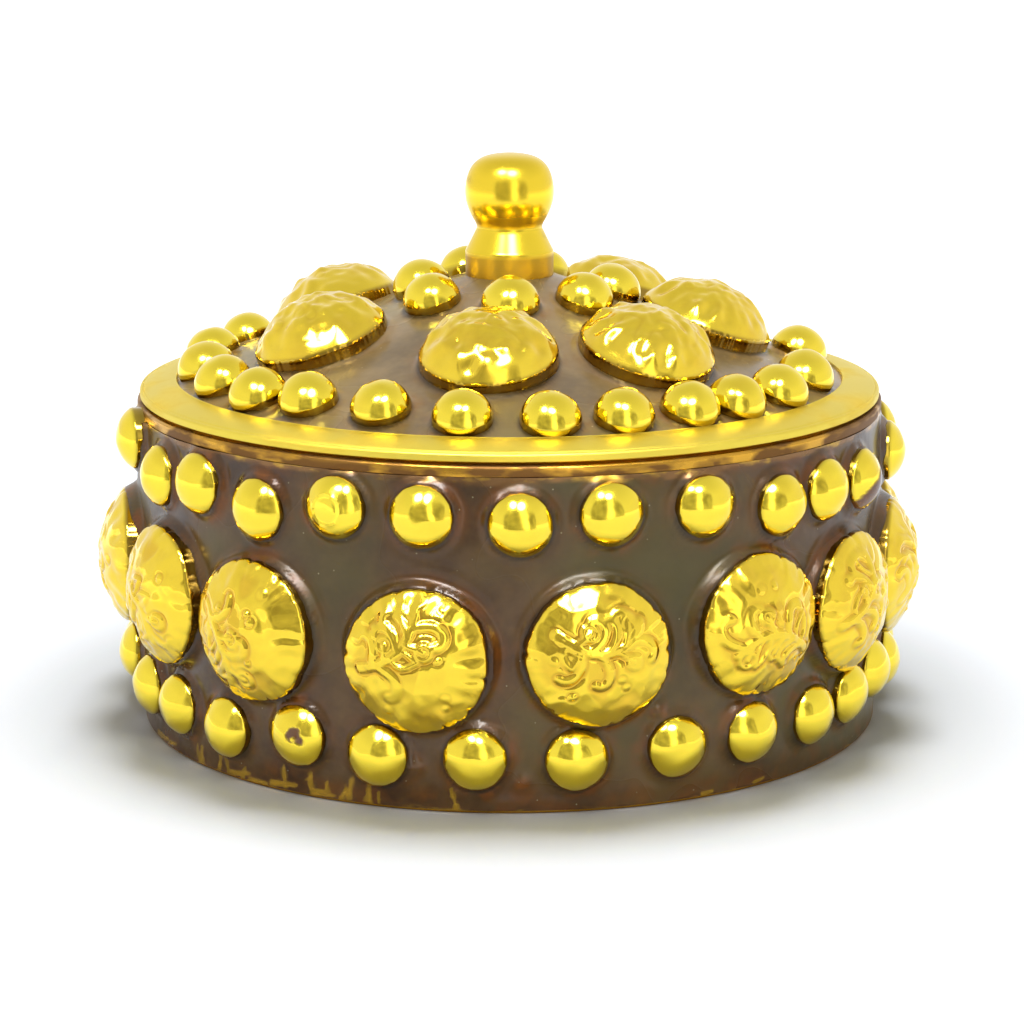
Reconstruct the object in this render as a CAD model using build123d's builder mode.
"""Sindoor box: a turned metal cup and its lift-off lid, coated with lac and set with gilt studs.

Millimetres, +Z up. The origin is the centre of the cup's underside, and the front faces -Y.
An azimuth is in degrees from the front, positive towards +X.
"""

import os
from math import atan2, cos, degrees, radians, sin

from build123d import *

os.makedirs("parts", exist_ok=True)

# Cup: a thin turned wall with a bead at the rim and at the foot, and a recess between them for the lac
RIM_R = 25.4
FOOT_R = 25.3
RECESS_R = 24.4
BORE_R = 23.65
CUP_H = 22.2
RIM_BEAD_H = 0.75
FOOT_BEAD_H = 0.75
FLOOR_T = 1.0
BEAD_SLOPE = 0.2
EDGE_BREAK = 0.2
EDGE_REACH = 0.01
CORNER_R = 0.8

# Lac on the wall, slightly barrelled
WALL_LAC_R = 25.6
WALL_LAC_EDGE_R = 25.3

# Lid: ring, plug that enters the bore, and a cone of sheet under the lac
LID_R = 25.2
RING_INNER_R = 22.7
RING_TOP_Z = 23.42
RING_STEP_Z = 22.95
RING_STEP_W = 0.3
SHADOW_GAP = 0.15
SEAT_R = 24.65
PLUG_CLEARANCE = 0.2
PLUG_R = BORE_R - PLUG_CLEARANCE
PLUG_T = 0.7
PLUG_DEPTH = 3.6
SHEET_T = 0.7
CONE_EDGE_Z = 22.2
CONE_TOP_Z = 29.0
LAND_R = 3.4

# Lac on the lid: a cone from the ring up to the knob
LID_LAC_EDGE_Z = 23.25
LID_LAC_TOP_Z = 30.18

# Knob and what holds it
KNOB_R = 3.0
KNOB_EDGE_Z = 31.95
NECK_R = 2.3
NECK_Z = 33.65
BALL_R = 2.95
BALL_Z = 35.6
CROWN_R = 2.0
CROWN_Z = 37.95
CROWN_FILLET = 0.8
KNOB_TOP_Z = 38.45
TAP_R = 1.02
TAP_TOP_Z = 34.5
SCREW_R = 1.0
SCREW_TOP_Z = 34.0
SCREW_HOLE_R = 1.1
SCREW_HEAD_R = 2.0
SCREW_HEAD_H = 1.1
SLOT_W = 0.5
SLOT_D = 0.45
WASHER_R = 2.7
WASHER_T = 0.3

# Small domed stud: a short shank in the lac under a spherical cap
STUD_R = 1.88
STUD_SHANK_H = 0.9
STUD_CAP_H = 1.7

# Studs on the wall are wider and flatter: the same height, as a skirt, a rounded shoulder and a low dome
WALL_STUD_R = 1.97
WALL_STUD_DOME_H = 0.84
WALL_STUD_SHOULDER = 0.5

# Medallion: a domed cap, crimped round its edge, on a narrower root in the lac
MEDALLION_R = 4.5
MEDALLION_ROOT_R = 4.2
MEDALLION_ROOT_H = 0.55
MEDALLION_SHANK_H = 1.0
MEDALLION_CAP_H = 2.8
CRIMPS = 26
CRIMP_R = 0.32
CRIMP_DEPTH = 0.16
CRIMP_H = 1.7

# Medallions on the wall are pressed flatter too, and their crimps run out on the shoulder
WALL_MEDALLION_DOME_H = 1.75
WALL_MEDALLION_SHOULDER = 0.6
WALL_CRIMP_H = 2.7

# How far each kind stands: the radius of its shoulder on the wall, its height above the lid's lac
WALL_SHOULDER_R = 25.4
LID_STUD_STAND = 0.4
LID_MEDALLION_STAND = 0.5

# The studs are set by eye, so each row is a list of (azimuth, height) on the wall and of
# (azimuth, distance from the axis) on the lid. The back of each row is evenly spaced.
UPPER_ROW = [(-75.5, 20.1), (-61.5, 18.8), (-50, 19.2), (-37.5, 18.4), (-24.5, 19.2), (-12, 19.0),
             (1.5, 18.6), (14, 19.1), (28, 19.1), (41.5, 18.4), (51.5, 18.7), (62.5, 18.5), (83, 18.6)]
UPPER_ROW_COUNT = 27
UPPER_ROW_Z = 18.9
MEDALLION_ROW = [(-82.5, 11.4), (-59.5, 11.1), (-38, 10.6), (-12.5, 10.0), (12, 10.4), (36.8, 11.1),
                 (57.7, 10.8), (78.7, 11.1)]
MEDALLION_ROW_COUNT = 16
MEDALLION_ROW_Z = 10.9
LOWER_ROW = [(-80.5, 4.9), (-67.5, 4.0), (-56.5, 3.9), (-44.5, 3.6), (-31, 4.2), (-18.5, 3.6),
             (-4.7, 3.7), (9.3, 3.6), (24, 3.9), (36.5, 4.0), (49.2, 4.0), (59.5, 4.3), (69.5, 4.9)]
LOWER_ROW_COUNT = 29
LOWER_ROW_Z = 4.2

LID_OUTER_ROW = [(-116, 20.7), (-97, 20.6), (-81, 20.6), (-65.5, 20.6), (-51, 20.7), (-39, 20.2),
                 (-23.5, 20.1), (-8, 20.7), (7, 20.85), (20, 20.85), (32.9, 20.85), (43.7, 20.85),
                 (56.6, 20.85), (71.5, 20.6), (96, 20.0)]
LID_OUTER_BACK = [(azimuth, 20.6) for azimuth in range(130, 221, 15)]
LID_MEDALLIONS = [(-5.6, 13.5), (39.3, 14.0), (85.5, 13.2), (147, 13.8), (-172, 13.8), (-116, 13.3),
                  (-63.3, 13.8)]
LID_INNER_ROW = [(0.6, 6.5), (47.5, 6.7), (90, 6.9), (160, 6.5), (-146, 5.2), (-87, 5.9), (-48.5, 6.8)]

LID_LAC_SLOPE = degrees(atan2(LID_LAC_TOP_Z - LID_LAC_EDGE_Z, RING_INNER_R - KNOB_R))


def full_row(seen, count, height):
    """Add evenly spaced studs behind the ones that are set by eye."""
    start = seen[-1][0]
    hidden = count - len(seen)
    step = (seen[0][0] + 360 - start) / (hidden + 1)
    return seen + [(start + step * (index + 1), height) for index in range(hidden)]


def wall_seat(azimuth, height, shank):
    """Return the plane of a stud's flat back on the wall, facing straight out."""
    out = Vector(sin(radians(azimuth)), -cos(radians(azimuth)), 0)
    origin = out * (WALL_SHOULDER_R - shank) + Vector(0, 0, height)
    return Plane(origin=origin, x_dir=(0, 0, 1), z_dir=out)


def lid_seat(azimuth, distance, depth):
    """Return the plane of a stud's flat back on the lid, a depth below the lac and square to it."""
    lean = radians(LID_LAC_SLOPE)
    out = Vector(sin(radians(azimuth)), -cos(radians(azimuth)), 0)
    normal = out * sin(lean) + Vector(0, 0, cos(lean))
    rise = (RING_INNER_R - distance) * (LID_LAC_TOP_Z - LID_LAC_EDGE_Z) / (RING_INNER_R - KNOB_R)
    surface = out * distance + Vector(0, 0, LID_LAC_EDGE_Z + rise)
    return Plane(origin=surface - normal * depth, x_dir=out.cross(Vector(0, 0, 1)), z_dir=normal)


def cap_middle(radius, height):
    """Return the point halfway along a spherical cap's profile, from its edge to its top."""
    sphere_r = (radius**2 + height**2) / (2 * height)
    half = radians(degrees(atan2(radius, sphere_r - height)) / 2)
    return sphere_r * sin(half), sphere_r * cos(half) - (sphere_r - height)


def circle_at(piece, height):
    """Return the round edges of a turned piece at a height."""
    rounds = piece.edges().filter_by(GeomType.CIRCLE)
    return rounds.filter_by_position(Axis.Z, height - EDGE_REACH, height + EDGE_REACH)


def save(piece, name):
    """Label a finished piece and write its file."""
    piece.part.label = name
    export_step(piece.part, f"parts/{name}.step")


# Small stud for the lid, standing on the XY plane
middle_r, middle_z = cap_middle(STUD_R, STUD_CAP_H)
with BuildPart() as stud:
    with BuildSketch(Plane.XZ):
        with BuildLine():
            Polyline((0, STUD_SHANK_H + STUD_CAP_H), (0, 0), (STUD_R, 0), (STUD_R, STUD_SHANK_H))
            ThreePointArc(
                (STUD_R, STUD_SHANK_H),
                (middle_r, STUD_SHANK_H + middle_z),
                (0, STUD_SHANK_H + STUD_CAP_H),
            )
        make_face()
    revolve(axis=Axis.Z)

# Small stud for the wall
skirt_z = STUD_SHANK_H + STUD_CAP_H - WALL_STUD_DOME_H
middle_r, middle_z = cap_middle(WALL_STUD_R, WALL_STUD_DOME_H)
with BuildPart() as wall_stud:
    with BuildSketch(Plane.XZ):
        with BuildLine():
            Polyline((0, STUD_SHANK_H + STUD_CAP_H), (0, 0), (WALL_STUD_R, 0), (WALL_STUD_R, skirt_z))
            ThreePointArc((WALL_STUD_R, skirt_z), (middle_r, skirt_z + middle_z), (0, STUD_SHANK_H + STUD_CAP_H))
        make_face()
    revolve(axis=Axis.Z)
    fillet(circle_at(wall_stud, skirt_z), WALL_STUD_SHOULDER)

# Medallion for the lid before it is crimped, which is also the pocket that it presses into the lac
middle_r, middle_z = cap_middle(MEDALLION_R, MEDALLION_CAP_H)
with BuildPart() as medallion_blank:
    with BuildSketch(Plane.XZ):
        with BuildLine():
            Polyline(
                (0, MEDALLION_SHANK_H + MEDALLION_CAP_H),
                (0, 0),
                (MEDALLION_ROOT_R, 0),
                (MEDALLION_ROOT_R, MEDALLION_ROOT_H),
                (MEDALLION_R, MEDALLION_ROOT_H),
                (MEDALLION_R, MEDALLION_SHANK_H),
            )
            ThreePointArc(
                (MEDALLION_R, MEDALLION_SHANK_H),
                (middle_r, MEDALLION_SHANK_H + middle_z),
                (0, MEDALLION_SHANK_H + MEDALLION_CAP_H),
            )
        make_face()
    revolve(axis=Axis.Z)

# The crimps are small flutes, pressed in round the edge
with BuildPart() as medallion:
    add(medallion_blank.part)
    with BuildSketch(Plane.XY.offset(MEDALLION_ROOT_H)):
        with PolarLocations(MEDALLION_R + CRIMP_R - CRIMP_DEPTH, CRIMPS):
            Circle(CRIMP_R)
    extrude(amount=CRIMP_H - MEDALLION_ROOT_H, mode=Mode.SUBTRACT)

# Medallion for the wall, plain and then crimped
skirt_z = MEDALLION_SHANK_H + MEDALLION_CAP_H - WALL_MEDALLION_DOME_H
middle_r, middle_z = cap_middle(MEDALLION_R, WALL_MEDALLION_DOME_H)
with BuildPart() as wall_medallion_blank:
    with BuildSketch(Plane.XZ):
        with BuildLine():
            Polyline(
                (0, MEDALLION_SHANK_H + MEDALLION_CAP_H),
                (0, 0),
                (MEDALLION_ROOT_R, 0),
                (MEDALLION_ROOT_R, MEDALLION_ROOT_H),
                (MEDALLION_R, MEDALLION_ROOT_H),
                (MEDALLION_R, skirt_z),
            )
            ThreePointArc(
                (MEDALLION_R, skirt_z),
                (middle_r, skirt_z + middle_z),
                (0, MEDALLION_SHANK_H + MEDALLION_CAP_H),
            )
        make_face()
    revolve(axis=Axis.Z)
    fillet(circle_at(wall_medallion_blank, skirt_z), WALL_MEDALLION_SHOULDER)

with BuildPart() as wall_medallion_cap:
    add(wall_medallion_blank.part)
    with BuildSketch(Plane.XY.offset(MEDALLION_ROOT_H)):
        with PolarLocations(MEDALLION_R + CRIMP_R - CRIMP_DEPTH, CRIMPS):
            Circle(CRIMP_R)
    extrude(amount=WALL_CRIMP_H - MEDALLION_ROOT_H, mode=Mode.SUBTRACT)

# Cup
with BuildPart() as cup:
    with BuildSketch(Plane.XZ):
        with BuildLine():
            Polyline(
                (0, 0),
                (FOOT_R - EDGE_BREAK, 0),
                (FOOT_R, EDGE_BREAK),
                (FOOT_R, FOOT_BEAD_H),
                (RECESS_R, FOOT_BEAD_H + BEAD_SLOPE),
                (RECESS_R, CUP_H - RIM_BEAD_H - BEAD_SLOPE),
                (RIM_R, CUP_H - RIM_BEAD_H),
                (RIM_R, CUP_H - EDGE_BREAK),
                (RIM_R - EDGE_BREAK, CUP_H - EDGE_BREAK / 4),
                (SEAT_R, CUP_H),
                (BORE_R, CUP_H),
                (BORE_R, FLOOR_T),
                (0, FLOOR_T),
                close=True,
            )
        make_face()
    revolve(axis=Axis.Z)
    fillet(circle_at(cup, FLOOR_T), CORNER_R)
save(cup, "cup")

# Studs and medallions on the wall. The highest stud laps over the rim bead, so the studs are cut
# back to the cup.
wall_rows = {
    "upper_wall_studs": full_row(UPPER_ROW, UPPER_ROW_COUNT, UPPER_ROW_Z),
    "lower_wall_studs": full_row(LOWER_ROW, LOWER_ROW_COUNT, LOWER_ROW_Z),
}
wall_studs = {}
for name, row in wall_rows.items():
    with BuildPart() as wall_studs[name]:
        with Locations([wall_seat(azimuth, height, STUD_SHANK_H) for azimuth, height in row]):
            add(wall_stud.part)
        add(cup.part, mode=Mode.SUBTRACT)
    save(wall_studs[name], name)

wall_medallion_seats = [
    wall_seat(azimuth, height, MEDALLION_SHANK_H)
    for azimuth, height in full_row(MEDALLION_ROW, MEDALLION_ROW_COUNT, MEDALLION_ROW_Z)
]
for number, seat in enumerate(wall_medallion_seats, start=1):
    with BuildPart() as wall_medallion:
        with Locations(seat):
            add(wall_medallion_cap.part)
    save(wall_medallion, f"wall_medallion_{number:02d}")

# Lac on the wall, with a pocket for each stud
with BuildPart() as wall_lac:
    with BuildSketch(Plane.XZ):
        with BuildLine():
            lac_low = (WALL_LAC_EDGE_R, FOOT_BEAD_H)
            lac_high = (WALL_LAC_EDGE_R, CUP_H - RIM_BEAD_H - BEAD_SLOPE * 0.1)
            Polyline(
                lac_high,
                (RECESS_R, CUP_H - RIM_BEAD_H - BEAD_SLOPE),
                (RECESS_R, FOOT_BEAD_H + BEAD_SLOPE),
                lac_low,
            )
            ThreePointArc(lac_low, (WALL_LAC_R, CUP_H / 2), lac_high)
        make_face()
    revolve(axis=Axis.Z)
    for studs in wall_studs.values():
        add(studs.part, mode=Mode.SUBTRACT)
    with Locations(wall_medallion_seats):
        add(wall_medallion_blank.part, mode=Mode.SUBTRACT)
save(wall_lac, "wall_lac")

# Lid pan: ring, plug and cone of sheet, turned as one
with BuildPart() as lid_pan:
    with BuildSketch(Plane.XZ):
        with BuildLine():
            ring_step = (LID_R - RING_STEP_W, RING_STEP_Z)
            ring_top = (RING_INNER_R, RING_TOP_Z)
            Polyline(
                ring_top,
                (RING_INNER_R, CONE_EDGE_Z),
                (LAND_R, CONE_TOP_Z),
                (SCREW_HOLE_R, CONE_TOP_Z),
                (SCREW_HOLE_R, CONE_TOP_Z - SHEET_T),
                (LAND_R - SHEET_T / 2, CONE_TOP_Z - SHEET_T),
                (PLUG_R - PLUG_T, CONE_EDGE_Z - SHEET_T),
                (PLUG_R - PLUG_T, CUP_H - PLUG_DEPTH),
                (PLUG_R - EDGE_BREAK, CUP_H - PLUG_DEPTH),
                (PLUG_R, CUP_H - PLUG_DEPTH + EDGE_BREAK),
                (PLUG_R, CUP_H),
                (SEAT_R, CUP_H),
                (SEAT_R + SHADOW_GAP, CUP_H + SHADOW_GAP),
                (LID_R, CUP_H + SHADOW_GAP),
                (LID_R, RING_STEP_Z - EDGE_BREAK),
                ring_step,
            )
            crown_r = (LID_R - RING_STEP_W + RING_INNER_R) / 2
            crown_z = (RING_STEP_Z + RING_TOP_Z) / 2 + EDGE_BREAK / 4
            ThreePointArc(ring_step, (crown_r, crown_z), ring_top)
        make_face()
    revolve(axis=Axis.Z)
save(lid_pan, "lid_pan")

# Studs and medallions on the lid
stud_depth = STUD_SHANK_H - LID_STUD_STAND
medallion_depth = MEDALLION_SHANK_H - LID_MEDALLION_STAND
with BuildPart() as lid_outer_studs:
    with Locations([lid_seat(azimuth, r, stud_depth) for azimuth, r in LID_OUTER_ROW + LID_OUTER_BACK]):
        add(stud.part)
save(lid_outer_studs, "lid_outer_studs")

lid_inner_seats = [lid_seat(azimuth, r, stud_depth) for azimuth, r in LID_INNER_ROW]
for number, seat in enumerate(lid_inner_seats, start=1):
    with BuildPart() as lid_inner_stud:
        with Locations(seat):
            add(stud.part)
    save(lid_inner_stud, f"lid_inner_stud_{number}")

lid_medallion_seats = [lid_seat(azimuth, r, medallion_depth) for azimuth, r in LID_MEDALLIONS]
for number, seat in enumerate(lid_medallion_seats, start=1):
    with BuildPart() as lid_medallion:
        with Locations(seat):
            add(medallion.part)
    save(lid_medallion, f"lid_medallion_{number}")

# Lac on the lid, with a pocket for each stud, up against the knob
with BuildPart() as lid_lac:
    with BuildSketch(Plane.XZ):
        with BuildLine():
            Polyline(
                (KNOB_R, CONE_TOP_Z),
                (LAND_R, CONE_TOP_Z),
                (RING_INNER_R, CONE_EDGE_Z),
                (RING_INNER_R, LID_LAC_EDGE_Z),
                (KNOB_R, LID_LAC_TOP_Z),
                close=True,
            )
        make_face()
    revolve(axis=Axis.Z)
    add(lid_outer_studs.part, mode=Mode.SUBTRACT)
    with Locations(lid_inner_seats):
        add(stud.part, mode=Mode.SUBTRACT)
    with Locations(lid_medallion_seats):
        add(medallion_blank.part, mode=Mode.SUBTRACT)
save(lid_lac, "lid_lac")

# Knob: a plain collar, a taper to the neck and a flattened ball, tapped from below
crown_middle_r, crown_middle_z = cap_middle(CROWN_R, KNOB_TOP_Z - CROWN_Z)
with BuildPart() as knob:
    with BuildSketch(Plane.XZ):
        with BuildLine():
            neck = (NECK_R, NECK_Z)
            crown = (CROWN_R, CROWN_Z)
            ball = (BALL_R, BALL_Z)
            top = (0, KNOB_TOP_Z)
            Polyline(
                top,
                (0, TAP_TOP_Z),
                (TAP_R, TAP_TOP_Z),
                (TAP_R, CONE_TOP_Z),
                (KNOB_R, CONE_TOP_Z),
                (KNOB_R, KNOB_EDGE_Z),
                neck,
            )
            ThreePointArc(neck, (BALL_R - 0.11, NECK_Z + 0.9), ball)
            ThreePointArc(ball, (BALL_R - 0.27, CROWN_Z - 0.75), crown)
            ThreePointArc(crown, (crown_middle_r, CROWN_Z + crown_middle_z), top)
        make_face()
    revolve(axis=Axis.Z)
    fillet(circle_at(knob, CROWN_Z), CROWN_FILLET)
save(knob, "knob")

# Washer and slotted screw that hold the knob from inside the lid
washer_top_z = CONE_TOP_Z - SHEET_T
head_top_z = washer_top_z - WASHER_T
with BuildPart() as knob_washer:
    with BuildSketch(Plane.XY.offset(head_top_z)):
        Circle(WASHER_R)
        Circle(SCREW_HOLE_R, mode=Mode.SUBTRACT)
    extrude(amount=WASHER_T)
save(knob_washer, "knob_washer")

with BuildPart() as knob_screw:
    with BuildSketch(Plane.XY.offset(head_top_z)):
        Circle(SCREW_R)
    extrude(amount=SCREW_TOP_Z - head_top_z)
    with BuildSketch(Plane.XY.offset(head_top_z)):
        Circle(SCREW_HEAD_R)
    extrude(amount=-SCREW_HEAD_H)
    head_rim = knob_screw.edges().filter_by(GeomType.CIRCLE).sort_by(Axis.Z)[0]
    fillet(head_rim, SCREW_HEAD_H / 2)
    with BuildSketch(Plane.XY.offset(head_top_z - SCREW_HEAD_H)):
        Rectangle(2 * SCREW_HEAD_R, SLOT_W)
    extrude(amount=SLOT_D, mode=Mode.SUBTRACT)
save(knob_screw, "knob_screw")
